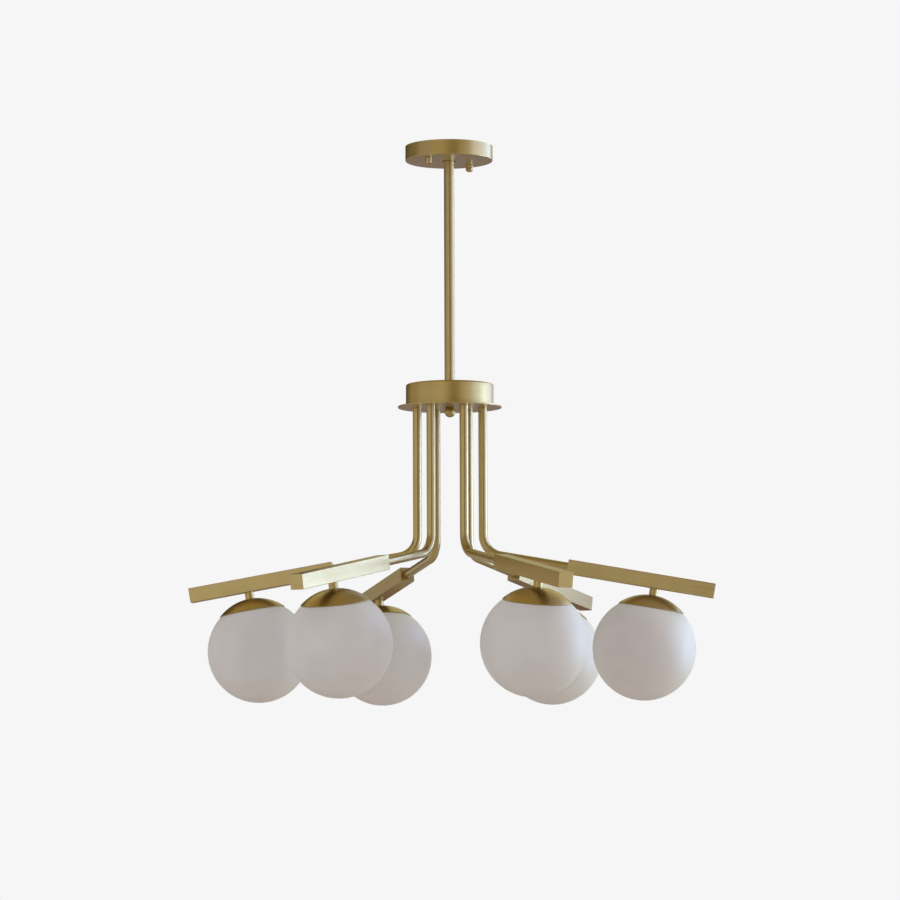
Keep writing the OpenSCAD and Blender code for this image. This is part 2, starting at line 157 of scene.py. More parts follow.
def pick_edges(piece, wanted):
    """Selects the edges of a piece whose two ends are wanted, and leaves it in edit mode."""
    bpy.ops.object.mode_set(mode="OBJECT")
    bpy.context.tool_settings.mesh_select_mode = (False, True, False)
    points = piece.data.vertices
    for face in piece.data.polygons:
        face.select = False
    for point in points:
        point.select = False
    for edge in piece.data.edges:
        edge.select = wanted(points[edge.vertices[0]].co, points[edge.vertices[1]].co)
    bpy.ops.object.mode_set(mode="EDIT")


def take_up(name):
    """Names the primitive that was just added, and moves its place and size into its mesh."""
    bpy.ops.object.transform_apply(location=True, rotation=True, scale=True)
    piece = bpy.context.object
    piece.name = name
    return piece


def new_round(name, radius, low, high, sides):
    """Adds a round bar on the bench, upright on the Z axis from one height to another."""
    bpy.ops.object.select_all(action="DESELECT")
    bpy.ops.mesh.primitive_cylinder_add(vertices=sides, radius=radius, depth=high - low,
                                        location=(0, 0, (low + high) / 2))
    return take_up(name)


def apply_modifier(piece, kind, **settings):
    """Adds a modifier with its settings and applies it."""
    if piece.mode == "EDIT":
        bpy.ops.object.mode_set(mode="OBJECT")
    modifier = piece.modifiers.new("shape", kind)
    for name, value in settings.items():
        setattr(modifier, name, value)
    bpy.context.view_layer.objects.active = piece
    bpy.ops.object.modifier_apply(modifier=modifier.name)


def drill(piece, radius, low, high, x=0.0, y=0.0):
    """Drills a round hole in a piece, along the bench's Z axis."""
    bit = new_round("drill", radius, low, high, 40)
    bit.data.transform(Matrix.Translation((x, y, 0)))
    apply_modifier(piece, "BOOLEAN", operation="DIFFERENCE", solver="EXACT", object=bit)
    bpy.data.objects.remove(bit)


def break_edges(piece, width):
    """Takes the sharpness off a piece's edges, and shades its faces smooth between them."""
    apply_modifier(piece, "BEVEL", width=width, segments=2, limit_method="ANGLE",
                   angle_limit=SHARP, use_clamp_overlap=True)
    bpy.ops.object.select_all(action="DESELECT")
    piece.select_set(True)
    bpy.ops.object.shade_smooth_by_angle(angle=SHARP)
    apply_modifier(piece, "WEIGHTED_NORMAL", keep_sharp=True, weight=80)


def keep_bench(piece, brushed_at=Vector):
    """Keeps where on the bench each point was brushed, so that the brushing stays with the piece when it is
    hung. It was brushed where it lies now, unless brushed_at tells another place."""
    bench = piece.data.attributes.new("bench", "FLOAT_VECTOR", "POINT")
    for kept, point in zip(bench.data, piece.data.vertices):
        kept.vector = brushed_at(point.co)


def satin_brass(name, spun, dark, light, dullness, relief_depth):
    """Brushed and lacquered brass. Its brushing runs round the bench's Z axis on a spun piece, and along it
    on a drawn one. The lines are 0.3 mm apart, and wider bands of 2 mm are what shows from across a room.
    On a spun piece they are counted by height plus 1.7 times radius, so that walls, flat faces and slopes
    all get rings. Bands give 0.6 of the tone, and clouds 30 mm wide the rest. Dark and light are the two
    ends of the tone, dullness is the mean roughness, and relief_depth is how much the lines tilt the light.
    The lacquer lays a pale soft sheen over the metal."""
    material, tree = blank_material(name)
    bench = add(tree, "Attribute", attribute_name="bench").outputs["Vector"]
    line = 1 / (0.3 * MM)
    band = 1 / (2.0 * MM)
    streak = 1 / (90 * MM)
    if spun:
        flat = add(tree, "VectorMath", {0: bench, 1: (1, 1, 0)}, operation="MULTIPLY").outputs[0]
        radius = add(tree, "VectorMath", {0: flat}, operation="LENGTH").outputs["Value"]
        height = add(tree, "SeparateXYZ", {0: bench}).outputs["Z"]
        across = add(tree, "Math", {0: radius, 1: 1.7, 2: height}, operation="MULTIPLY_ADD").outputs[0]
        course = add(tree, "CombineXYZ", {"Z": across}).outputs[0]
        along = flat
    else:
        course = add(tree, "VectorMath", {0: bench, 1: (1, 1, 0)}, operation="MULTIPLY").outputs[0]
        along = add(tree, "VectorMath", {0: bench, 1: (0, 0, 1)}, operation="MULTIPLY").outputs[0]
    slow = add(tree, "VectorMath", {0: along, "Scale": streak}, operation="SCALE").outputs[0]
    fine_at = add(tree, "VectorMath", {0: course, 1: (line, line, line), 2: slow}, operation="MULTIPLY_ADD")
    wide_at = add(tree, "VectorMath", {0: course, 1: (band, band, band), 2: slow}, operation="MULTIPLY_ADD")
    fine = add(tree, "TexNoise", {"Vector": fine_at.outputs[0], "Scale": 1.0, "Detail": 2.0}).outputs["Fac"]
    wide = add(tree, "TexNoise", {"Vector": wide_at.outputs[0], "Scale": 1.0, "Detail": 3.0}).outputs["Fac"]
    cloud = add(tree, "TexNoise", {"Vector": bench, "Scale": 1 / (30 * MM), "Detail": 2.0}).outputs["Fac"]
    banded = add(tree, "Math", {0: wide, 1: 0.6}, operation="MULTIPLY").outputs[0]
    shade = add(tree, "Math", {0: cloud, 1: 0.4, 2: banded}, operation="MULTIPLY_ADD").outputs[0]
    spread = add(tree, "MapRange", {"Value": shade, "From Min": 0.3, "From Max": 0.7}).outputs["Result"]
    tone = add(tree, "Mix", {"Factor": spread, COLOUR_A: linear(dark),
                             COLOUR_B: linear(light)}, data_type="RGBA")
    gloss = add(tree, "MapRange", {"Value": fine, "To Min": dullness - 0.05, "To Max": dullness + 0.05})
    relief = add(tree, "Bump", {"Height": fine, "Strength": relief_depth, "Distance": 0.03 * MM})
    brass = add(tree, "BsdfPrincipled", {"Base Color": tone.outputs[MIXED], "Metallic": 1.0,
                                         "Roughness": gloss.outputs["Result"],
                                         "Normal": relief.outputs["Normal"],
                                         "Coat Weight": 0.6, "Coat Roughness": 0.28})
    add(tree, "OutputMaterial", {"Surface": brass.outputs["BSDF"]})
    return material


spun_brass = satin_brass("satin_brass_spun", True, "#AC9454", "#B8A05F", 0.38, 0.07)


def stud_place(side):
    """Where a stud stands on the turned strip, with side -1 for the left one and 1 for the right one."""
    return side * STUD_AT * math.cos(STRIP_TURN), side * STUD_AT * math.sin(STRIP_TURN)


canopy = new_round("canopy_shell", CANOPY_R, -CANOPY_H, 0, 144)
pick_faces(canopy, faces_up)
bpy.ops.mesh.delete(type="FACE")
pick_faces(canopy, faces_down)
bpy.ops.mesh.inset(thickness=CANOPY_R - ROD_HOLE_R)
bpy.ops.mesh.delete(type="FACE")
pick_edges(canopy, lambda a, b: max(a.z, b.z) < HAIR - CANOPY_H
           and min(a.xy.length, b.xy.length) > CANOPY_R - HAIR)
bpy.ops.mesh.bevel(offset=CANOPY_ROUND, segments=5, affect="EDGES")
apply_modifier(canopy, "SOLIDIFY", thickness=CANOPY_SHEET, offset=-1.0, use_even_offset=True)
for side in (-1, 1):
    drill(canopy, STUD_HOLE_R, -CANOPY_H - MM, -CANOPY_H + 3 * MM, *stud_place(side))
break_edges(canopy, 0.25 * MM)
keep_bench(canopy)
canopy.data.materials.append(spun_brass)
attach(canopy, "ceiling_mount")
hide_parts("canopy")

# ---------------------------------------------------------------- thumb nuts
# Two round cap nuts under the canopy that hold it up on its studs, turned from brass bar.
# Each has a rounded foot, a finger groove, and a straight knurl above it for grip.

NUT_R = 5.5 * MM
NUT_TOP = -CANOPY_H - 0.2 * MM
NUT_FOOT = NUT_TOP - 10 * MM
NUT_BORE_R = 2.15 * MM
NUT_BORE_END = NUT_TOP - 7 * MM
NUT_RIDGES = 36
FOOT_ROUND_R = 7.3 * MM
KNURL_TOP = NUT_TOP - 0.9 * MM
KNURL_FOOT = NUT_FOOT + 4.9 * MM
KNURL_DEPTH = 0.3 * MM
KNURL_FLANK = 0.08 * MM
KNURL_SHARP = math.radians(28)


def turn(name, outline, sides):
    """Turns a piece on the bench: its outline goes from ring to ring, each with its radius and height."""
    (radius, height), *rings = outline
    bpy.ops.object.select_all(action="DESELECT")
    bpy.ops.mesh.primitive_circle_add(vertices=sides, radius=radius, location=(0, 0, height))
    piece = take_up(name)
    pick_edges(piece, lambda a, b: True)
    for next_radius, next_height in rings:
        bpy.ops.mesh.extrude_region_move(TRANSFORM_OT_translate={"value": (0, 0, next_height - height)})
        bpy.ops.transform.resize(value=(next_radius / radius, next_radius / radius, 1.0))
        radius, height = next_radius, next_height
    return piece


def foot_ring(up):
    """A ring of the nut's rounded foot, at a height above its lowest point."""
    return math.sqrt(FOOT_ROUND_R ** 2 - (FOOT_ROUND_R - up) ** 2), NUT_FOOT + up


# Bright turned brass: machined smooth and lacquered, so its highlights are small and clear, and each
# flank of a knurl ridge catches its own. Tool marks 0.15 mm apart run round it.
bright_brass, tree = blank_material("bright_turned_brass")
bench = add(tree, "Attribute", attribute_name="bench").outputs["Vector"]
height = add(tree, "SeparateXYZ", {0: bench}).outputs["Z"]
mark_at = add(tree, "CombineXYZ", {"Z": height}).outputs[0]
marks = add(tree, "TexNoise", {"Vector": mark_at, "Scale": 1 / (0.15 * MM), "Detail": 1.0}).outputs["Fac"]
tone = add(tree, "Mix", {"Factor": marks, COLOUR_A: linear("#BFA674"),
                         COLOUR_B: linear("#D5BF8E")}, data_type="RGBA")
gloss = add(tree, "MapRange", {"Value": marks, "To Min": 0.16, "To Max": 0.26}).outputs["Result"]
shine = add(tree, "BsdfPrincipled", {"Base Color": tone.outputs[MIXED], "Metallic": 1.0, "Roughness": gloss,
                                     "Coat Weight": 0.4, "Coat Roughness": 0.12})
add(tree, "OutputMaterial", {"Surface": shine.outputs["BSDF"]})

nut_outline = [(NUT_BORE_R, NUT_BORE_END), (NUT_BORE_R, NUT_TOP), (NUT_R - 0.3 * MM, NUT_TOP),
               (NUT_R, NUT_TOP - 0.3 * MM), (NUT_R, KNURL_TOP), (NUT_R, KNURL_FOOT),
               (NUT_R, NUT_FOOT + 4.5 * MM), (NUT_R - 0.5 * MM, NUT_FOOT + 4.2 * MM),
               (NUT_R - 0.5 * MM, NUT_FOOT + 3.8 * MM), (NUT_R, NUT_FOOT + 3.5 * MM)]
nut_outline += [foot_ring(up * MM) for up in (2.5, 2.0, 1.5, 1.0, 0.5, 0.2, 0.05)]
nut = turn("thumb_nut", nut_outline, 2 * NUT_RIDGES)
bpy.ops.mesh.edge_face_add()
pick_edges(nut, lambda a, b: max(abs(a.z - NUT_BORE_END), abs(b.z - NUT_BORE_END)) < HAIR
           and max(a.xy.length, b.xy.length) < NUT_BORE_R + HAIR)
bpy.ops.mesh.edge_face_add()
pick_faces(nut, every_face)
bpy.ops.mesh.normals_make_consistent(inside=False)
pick_faces(nut, lambda middle, normal: abs(normal.z) < 0.5 and KNURL_FOOT < middle.z < KNURL_TOP
           and middle.xy.length > 0.9 * NUT_R
           and round(math.atan2(middle.y, middle.x) / (math.pi / NUT_RIDGES) - 0.5) % 2 == 0)
bpy.ops.mesh.inset(thickness=KNURL_FLANK, depth=-KNURL_DEPTH, use_individual=True)
bpy.ops.object.mode_set(mode="OBJECT")
bpy.ops.object.shade_smooth_by_angle(angle=KNURL_SHARP)
keep_bench(nut)
nut.data.materials.append(bright_brass)


def hang_copy(pattern, name, where):
    """Puts a copy of a finished piece in its place, with a mesh of its own."""
    piece = bpy.data.objects.new(name, pattern.data.copy())
    bpy.context.scene.collection.objects.link(piece)
    piece.data.transform(where)
    return piece


for name, side in (("thumb_nut_left", -1), ("thumb_nut_right", 1)):
    piece = hang_copy(nut, name + "_turned", Matrix.Translation((*stud_place(side), 0)))
    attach(piece, name)
    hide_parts(name)
bpy.data.objects.remove(nut)

# ---------------------------------------------------------------- swivel
# The half ball inside the canopy that lets the rod hang plumb, in a loose seat ring and a steel socket.
# Turned steel, zinc plated like the strip. The seat ring is bare steel, greased, so it looks darker.

paint_nodes(["swivel_socket", "swivel_ball"], zinc_plate)

# Greased bare steel: dark grey with a wet sheen, and smears about 3 mm long where the grease was wiped.
greased_steel, tree = blank_material("greased_bare_steel")
place = add(tree, "TexCoord").outputs["Object"]
smear = add(tree, "TexNoise", {"Vector": place, "Scale": 1 / (3 * MM), "Detail": 2.0, "Distortion": 0.8})
tone = add(tree, "Mix", {"Factor": smear.outputs["Fac"], COLOUR_A: linear("#5C5B57"),
                         COLOUR_B: linear("#83817B")}, data_type="RGBA")
wetness = add(tree, "MapRange", {"Value": smear.outputs["Fac"], "To Min": 0.22, "To Max": 0.40})
steel = add(tree, "BsdfPrincipled", {"Base Color": tone.outputs[MIXED], "Metallic": 1.0,
                                     "Roughness": wetness.outputs["Result"]})
add(tree, "OutputMaterial", {"Surface": steel.outputs["BSDF"]})
paint_nodes(["swivel_ring"], greased_steel)

# ---------------------------------------------------------------- rod
# The straight brass tube from the swivel to the hub, drawn, brushed lengthwise and lacquered.
# It screws on a threaded steel nipple at each end, so both ends are bored and lightly chamfered.

ROD_R = 7.5 * MM
HUB_TOP = -348 * MM
ROD_TOP = -17.067 * MM
THREAD_BORE_R = 5.05 * MM
ROD_BORE_DEPTH = 21 * MM

drawn_brass = satin_brass("satin_brass_drawn", False, "#AA945C", "#B6A068", 0.30, 0.03)

rod = new_round("rod_tube", ROD_R, HUB_TOP, ROD_TOP, 64)
for inward, end in ((1, faces_down), (-1, faces_up)):
    pick_faces(rod, end)
    bpy.ops.mesh.inset(thickness=ROD_R - THREAD_BORE_R)
    bpy.ops.mesh.extrude_region_move(TRANSFORM_OT_translate={"value": (0, 0, inward * ROD_BORE_DEPTH)})
break_edges(rod, 0.3 * MM)
keep_bench(rod)
rod.data.materials.append(drawn_brass)
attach(rod, "hanger")
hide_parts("rod")
paint_nodes(["rod_nipples", "rod_lock_nuts"], zinc_plate)

# ---------------------------------------------------------------- hub cup
# The drum over the arm nuts, spun from brass sheet with a softly rounded top edge and open below.
# The long nipple from the rod passes down through the hole in its top to the plate.

CUP_R = 63.5 * MM
CUP_H = 32 * MM
CUP_SHEET = 1.2 * MM
CUP_ROUND = 3 * MM
CUP_FOOT = HUB_TOP - CUP_H
NIPPLE_HOLE_R = 5.15 * MM

cup = new_round("hub_drum", CUP_R, CUP_FOOT, HUB_TOP, 144)
pick_faces(cup, faces_down)
bpy.ops.mesh.delete(type="FACE")
pick_faces(cup, faces_up)
bpy.ops.mesh.inset(thickness=CUP_R - NIPPLE_HOLE_R)
bpy.ops.mesh.delete(type="FACE")
pick_edges(cup, lambda a, b: min(a.z, b.z) > HUB_TOP - HAIR
           and min(a.xy.length, b.xy.length) > CUP_R - HAIR)
bpy.ops.mesh.bevel(offset=CUP_ROUND, segments=8, affect="EDGES")
apply_modifier(cup, "SOLIDIFY", thickness=CUP_SHEET, offset=-1.0, use_even_offset=True)
break_edges(cup, 0.25 * MM)
keep_bench(cup)
cup.data.materials.append(spun_brass)
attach(cup, "hanger")
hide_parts("hub_cup")

# ---------------------------------------------------------------- hub plate
# The flat round plate under the drum that carries the six arms, cut from 2 mm brass and turned at its rim.
# It has a hole for each arm's thread and one for the rod's nipple. Zinc-plated nuts clamp the arms on it.

PLATE_R = 75 * MM
PLATE_T = 2 * MM
PLATE_FOOT = CUP_FOOT - PLATE_T
ARM_CIRCLE_R = 47.5 * MM
ARM_ANGLES = [-5, 55, 115, 175, 235, 295]

plate = new_round("hub_disc", PLATE_R, PLATE_FOOT, CUP_FOOT, 144)
drill(plate, NIPPLE_HOLE_R, PLATE_FOOT - MM, CUP_FOOT + MM)
for angle in ARM_ANGLES:
    drill(plate, THREAD_BORE_R, PLATE_FOOT - MM, CUP_FOOT + MM,
          ARM_CIRCLE_R * math.cos(math.radians(angle)), ARM_CIRCLE_R * math.sin(math.radians(angle)))
break_edges(plate, 0.35 * MM)
keep_bench(plate)
plate.data.materials.append(spun_brass)
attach(plate, "hanger")
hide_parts("hub_plate")
paint_nodes(["arm_nuts"], zinc_plate)

# ---------------------------------------------------------------- finial
# The brass ball that screws on the nipple under the plate and holds the hub together. It is turned with a
# flat seat, and drilled and tapped from there, a touch wider at the mouth.

FINIAL_R = 8 * MM
FINIAL_AT = PLATE_FOOT - 5.8 * MM
FINIAL_SEAT = 0.4 * MM
FINIAL_BORE_DEPTH = 9 * MM
FINIAL_TAPER = 0.98

bpy.ops.object.select_all(action="DESELECT")
bpy.ops.mesh.primitive_uv_sphere_add(segments=64, ring_count=48, radius=FINIAL_R, location=(0, 0, FINIAL_AT))
finial = take_up("finial_ball")
pick_faces(finial, every_face)
bpy.ops.mesh.bisect(plane_co=(0, 0, PLATE_FOOT), plane_no=(0, 0, 1), use_fill=True, clear_outer=True)
pick_faces(finial, lambda middle, normal: middle.z > PLATE_FOOT - HAIR and normal.z > LEVEL)
bpy.ops.mesh.inset(thickness=FINIAL_SEAT)
bpy.ops.mesh.extrude_region_move(TRANSFORM_OT_translate={"value": (0, 0, -FINIAL_BORE_DEPTH)})
bpy.ops.transform.resize(value=(FINIAL_TAPER, FINIAL_TAPER, 1.0))
break_edges(finial, 0.15 * MM)
keep_bench(finial)
finial.data.materials.append(spun_brass)
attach(finial, "hanger")
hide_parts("finial")

# ---------------------------------------------------------------- arm tubes
# Six drawn brass tubes, hung in the plate by a narrower thread. Each is bent outward at its foot on a 30 mm
# former and runs on down a 10 degree slope into its branch bar. They were set by hand, a few degrees off an
# even star.

TUBE_R = 6.35 * MM
TUBE_WALL = 1.2 * MM
TUBE_TOP = PLATE_FOOT - 0.2 * MM
THREAD_R = 5 * MM
TUBE_THREAD = 16.2 * MM
BEND_TOP = PLATE_FOOT - 185 * MM
BEND_R = 30 * MM
SLOPE = math.radians(10)
TUBE_TO_BAR = 99.2 * MM
TUBE_IN_BAR = 12 * MM
ARM_TURNS = [-2, 2, -4, -1, 2, -1]
BEND_ANGLE = math.pi / 2 - SLOPE
DOWN_SLOPE = Vector((math.cos(SLOPE), 0, -math.sin(SLOPE)))

bpy.ops.object.select_all(action="DESELECT")
bpy.ops.mesh.primitive_circle_add(vertices=40, radius=TUBE_R, fill_type="NOTHING", location=(0, 0, TUBE_TOP))
tube = take_up("arm_tube")
pick_edges(tube, lambda a, b: True)
bpy.ops.mesh.extrude_region_move(TRANSFORM_OT_translate={"value": (0, 0, BEND_TOP - TUBE_TOP)})
bpy.ops.mesh.spin(steps=20, angle=BEND_ANGLE, center=(BEND_R, 0, BEND_TOP), axis=(0, 1, 0))
bpy.ops.mesh.extrude_region_move(TRANSFORM_OT_translate={"value": DOWN_SLOPE * (TUBE_TO_BAR + TUBE_IN_BAR)})
pick_faces(tube, every_face)
bpy.ops.mesh.normals_make_consistent(inside=False)
pick_edges(tube, lambda a, b: max(abs(a.z - TUBE_TOP), abs(b.z - TUBE_TOP)) < HAIR)
bpy.ops.mesh.extrude_region_move()
bpy.ops.transform.resize(value=(THREAD_R / TUBE_R, THREAD_R / TUBE_R, 1.0))
bpy.ops.mesh.extrude_region_move(TRANSFORM_OT_translate={"value": (0, 0, TUBE_THREAD)})
apply_modifier(tube, "SOLIDIFY", thickness=TUBE_WALL, offset=-1.0, use_even_offset=True)
break_edges(tube, 0.15 * MM)


def on_straight_tube(point):
    """Where a point of the bent tube lay before it was bent, when the tube stood straight on the bench."""
    from_centre = Vector((point.x - BEND_R, 0, point.z - BEND_TOP))
    if from_centre.z >= 0:
        return Vector((point.x, point.y, point.z))
    turned = math.atan2(-from_centre.z, -from_centre.x)
    if turned <= BEND_ANGLE:
        return Vector((BEND_R - from_centre.length, point.y, BEND_TOP - BEND_R * turned))
    past = from_centre.dot(DOWN_SLOPE)
    out = from_centre.dot(Vector((-math.sin(SLOPE), 0, -math.cos(SLOPE))))
    return Vector((BEND_R - out, point.y, BEND_TOP - BEND_R * BEND_ANGLE - past))


keep_bench(tube, on_straight_tube)
tube.data.materials.append(drawn_brass)


def arm_place(k):
    """Where arm k hangs: its upright tube on the plate's circle, turned to its own direction."""
    return (Matrix.Rotation(math.radians(ARM_ANGLES[k - 1]), 4, "Z")
            @ Matrix.Translation((ARM_CIRCLE_R, 0, 0))
            @ Matrix.Rotation(math.radians(ARM_TURNS[k - 1]), 4, "Z"))


for k in range(1, 7):
    piece = hang_copy(tube, f"arm_{k}_tube", arm_place(k))
    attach(piece, f"arm_{k}")
    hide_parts(f"arm_tube_{k}")
bpy.data.objects.remove(tube)

# ---------------------------------------------------------------- branch bars
# Six lengths of square brass tube with a plate soldered flush in each end, filed and brushed lengthwise.
# The arm tube enters the inner end, and the lamp's stem screws into the underside, past the middle.

BAR_L = 212 * MM
BAR_W = 21 * MM
BAR_WALL = 1.5 * MM
BAR_ROUND = 0.8 * MM
BAR_PLATE = 2 * MM
TUBE_ROOM = 0.15 * MM
BEND_END = Vector((BEND_R * (1 - math.sin(SLOPE)), 0, BEND_TOP - BEND_R * math.cos(SLOPE)))
BAR_AT = BEND_END + DOWN_SLOPE * TUBE_TO_BAR
STEM_AT = 127 * MM

bpy.ops.object.select_all(action="DESELECT")
bpy.ops.mesh.primitive_cube_add(size=1, location=(0, 0, BAR_L / 2), scale=(BAR_W, BAR_W, BAR_L))
bar = take_up("branch_bar")
pick_edges(bar, lambda a, b: abs(a.z - b.z) > BAR_W)
bpy.ops.mesh.bevel(offset=BAR_ROUND, segments=3, affect="EDGES")
bpy.ops.object.mode_set(mode="OBJECT")
bpy.ops.object.select_all(action="DESELECT")
bpy.ops.mesh.primitive_cube_add(size=1, location=(0, 0, BAR_L / 2),
                                scale=(BAR_W - 2 * BAR_WALL, BAR_W - 2 * BAR_WALL, BAR_L - 2 * BAR_PLATE))
hollow = take_up("bar_hollow")
apply_modifier(bar, "BOOLEAN", operation="DIFFERENCE", solver="EXACT", object=hollow)
bpy.data.objects.remove(hollow)
drill(bar, TUBE_R + TUBE_ROOM, -MM, 3 * MM)
bar.data.transform(Matrix.Translation((0, 0, -STEM_AT)))
bar.data.transform(Matrix.Rotation(math.radians(-90), 4, "Y"))
drill(bar, THREAD_BORE_R, BAR_W / 2 - 3 * MM, BAR_W / 2 + MM)
bar.data.transform(Matrix.Rotation(math.radians(90), 4, "Y"))
bar.data.transform(Matrix.Translation((0, 0, STEM_AT)))
break_edges(bar, 0.3 * MM)
keep_bench(bar)
bar.data.materials.append(drawn_brass)


def bar_place(k):
    """Where bar k lies: its middle line along +X from its inner end, down the slope of its arm."""
    return arm_place(k) @ Matrix.Translation(BAR_AT) @ Matrix.Rotation(SLOPE, 4, "Y")


for k in range(1, 7):
    piece = hang_copy(bar, f"arm_{k}_bar", bar_place(k) @ Matrix.Rotation(math.radians(90), 4, "Y"))
    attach(piece, f"arm_{k}")
    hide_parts(f"arm_bar_{k}")
bpy.data.objects.remove(bar)

# ---------------------------------------------------------------- stems and caps
# Under each bar a short turned stem holds a domed cap over the top of the globe, spun from 1 mm brass.
# The cap is rounder than the glass, so that only its rim comes close. The stem stands on a small flat in its
# top, and has a narrower thread at each end.

STEM_R = 6.35 * MM
STEM_BORE_R = 3 * MM
STEM_THREAD = 7 * MM
BAR_UNDER = -BAR_W / 2
CAP_TOP = BAR_UNDER - 9.5 * MM
CAP_SHEET = 1 * MM
CAP_ROOM = 2.4 * MM
CAP_GAP = 0.4 * MM
CAP_RIM_R = 46 * MM
GLOBE_R = 74 * MM
GLOBE_AT = CAP_TOP - CAP_SHEET - CAP_ROOM - GLOBE_R
CAP_RIM = GLOBE_AT + math.sqrt((GLOBE_R + CAP_GAP) ** 2 - CAP_RIM_R ** 2)
CAP_DEPTH = CAP_TOP - CAP_SHEET - CAP_RIM
CAP_R = (CAP_RIM_R ** 2 + CAP_DEPTH ** 2) / (2 * CAP_DEPTH) + CAP_SHEET
CAP_AT = CAP_TOP - CAP_R
CAP_SEAT = CAP_AT + math.sqrt(CAP_R ** 2 - STEM_R ** 2)

stem = new_round("stem", STEM_R, CAP_SEAT, BAR_UNDER, 48)
for outward, end in ((-1, faces_down), (1, faces_up)):
    pick_faces(stem, end)
    bpy.ops.mesh.inset(thickness=STEM_R - THREAD_R)
    bpy.ops.mesh.extrude_region_move(TRANSFORM_OT_translate={"value": (0, 0, outward * STEM_THREAD)})
    bpy.ops.mesh.inset(thickness=THREAD_R - STEM_BORE_R)
pick_faces(stem, lambda middle, normal: abs(normal.z) > LEVEL and middle.xy.length < HAIR)
bpy.ops.mesh.bridge_edge_loops()
break_edges(stem, 0.25 * MM)
keep_bench(stem)
stem.data.materials.append(spun_brass)

bpy.ops.object.select_all(action="DESELECT")
bpy.ops.mesh.primitive_uv_sphere_add(segments=128, ring_count=96, radius=CAP_R, location=(0, 0, CAP_AT))
cap = take_up("cap")
pick_faces(cap, every_face)
bpy.ops.mesh.bisect(plane_co=(0, 0, CAP_RIM), plane_no=(0, 0, 1), clear_inner=True)
pick_faces(cap, every_face)
bpy.ops.mesh.bisect(plane_co=(0, 0, CAP_SEAT), plane_no=(0, 0, 1), clear_outer=True, use_fill=True)
pick_faces(cap, lambda middle, normal: middle.z > CAP_SEAT - HAIR)
bpy.ops.mesh.inset(thickness=STEM_R - THREAD_BORE_R)
bpy.ops.mesh.delete(type="FACE")
apply_modifier(cap, "SOLIDIFY", thickness=CAP_SHEET, offset=-1.0, use_even_offset=True)
break_edges(cap, 0.3 * MM)
keep_bench(cap)
cap.data.materials.append(spun_brass)


def lamp_place(k):
    """Where lamp k hangs: the stem's axis on Z, with the bar's middle line at height 0."""
    return bar_place(k) @ Matrix.Translation((STEM_AT, 0, 0))


for k in range(1, 7):
    for pattern, node in ((stem, "stem"), (cap, "cap")):
        piece = hang_copy(pattern, f"arm_{k}_{node}", lamp_place(k))
        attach(piece, f"arm_{k}")
        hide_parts(f"{node}_{k}")
bpy.data.objects.remove(stem)
bpy.data.objects.remove(cap)

# ---------------------------------------------------------------- lamp holders and bulbs
# Inside each globe, a steatite ceramic holder under a sprung crown that grips the glass, and a pin bulb.
# Steatite is fired unglazed: off-white, dry and even, with a faint grain of dark specks.

steatite, tree = blank_material("unglazed_steatite")
place = add(tree, "TexCoord").outputs["Object"]
speck = add(tree, "TexNoise", {"Vector": place, "Scale": 1 / (0.8 * MM), "Detail": 3.0})
tone = add(tree, "Mix", {"Factor": speck.outputs["Fac"], COLOUR_A: linear("#D6D0C2"),
                         COLOUR_B: linear("#EFEBE2")}, data_type="RGBA")
relief = add(tree, "Bump", {"Height": speck.outputs["Fac"], "Strength": 0.2, "Distance": 0.05 * MM})
clay = add(tree, "BsdfPrincipled", {"Base Color": tone.outputs[MIXED], "Roughness": 0.75,
                                    "Normal": relief.outputs["Normal"]})
add(tree, "OutputMaterial", {"Surface": clay.outputs["BSDF"]})
paint_nodes([f"lamp_holder_{k}" for k in range(1, 7)], steatite)

# The bulb's quartz capsule is frosted inside: pale grey-white, half clear, with a dry soft shine.
quartz, tree = blank_material("frosted_quartz")
place = add(tree, "TexCoord").outputs["Object"]
frost = add(tree, "TexNoise", {"Vector": place, "Scale": 1 / (1.2 * MM), "Detail": 2.0})
haze = add(tree, "MapRange", {"Value": frost.outputs["Fac"], "To Min": 0.30, "To Max": 0.45})
glass = add(tree, "BsdfPrincipled", {"Base Color": linear("#F0EEE8"), "Roughness": haze.outputs["Result"],
                                     "IOR": 1.46, "Transmission Weight": 0.5})
add(tree, "OutputMaterial", {"Surface": glass.outputs["BSDF"]})
paint_nodes([f"bulb_{k}" for k in range(1, 7)], quartz)

# ---------------------------------------------------------------- globes
# Six blown globes of opal glass, etched with acid to a matte skin, with a ground hole in the top.
# They hang unlit on the spring crowns and can be pulled down off them.

GLASS = 2.5 * MM
GLOBE_HOLE_R = 20 * MM
GLOBE_RIM = GLOBE_AT + math.sqrt(GLOBE_R ** 2 - GLOBE_HOLE_R ** 2)

# Etched opal: milky glass that light enters and leaves a few millimetres away, under a dry skin with no
# mirror shine. It is a warm grey-pink in shade, with faint clouds 30 mm wide where the opal is thicker.
opal, tree = blank_material("etched_opal_glass")
place = add(tree, "TexCoord").outputs["Object"]
cloud = add(tree, "TexNoise", {"Vector": place, "Scale": 1 / (30 * MM), "Detail": 1.0})
tone = add(tree, "Mix", {"Factor": cloud.outputs["Fac"], COLOUR_A: linear("#D2C8C7"),
                         COLOUR_B: linear("#DBD2D1")}, data_type="RGBA")
etch = add(tree, "TexNoise", {"Vector": place, "Scale": 1 / (0.6 * MM), "Detail": 2.0})
relief = add(tree, "Bump", {"Height": etch.outputs["Fac"], "Strength": 0.06, "Distance": 0.03 * MM})
milk = add(tree, "BsdfPrincipled", {"Base Color": tone.outputs[MIXED], "Roughness": 0.55, "IOR": 1.5,
                                    "Subsurface Weight": 0.35, "Subsurface Radius": (1.0, 0.95, 0.9),
                                    "Subsurface Scale": 4 * MM, "Normal": relief.outputs["Normal"]})
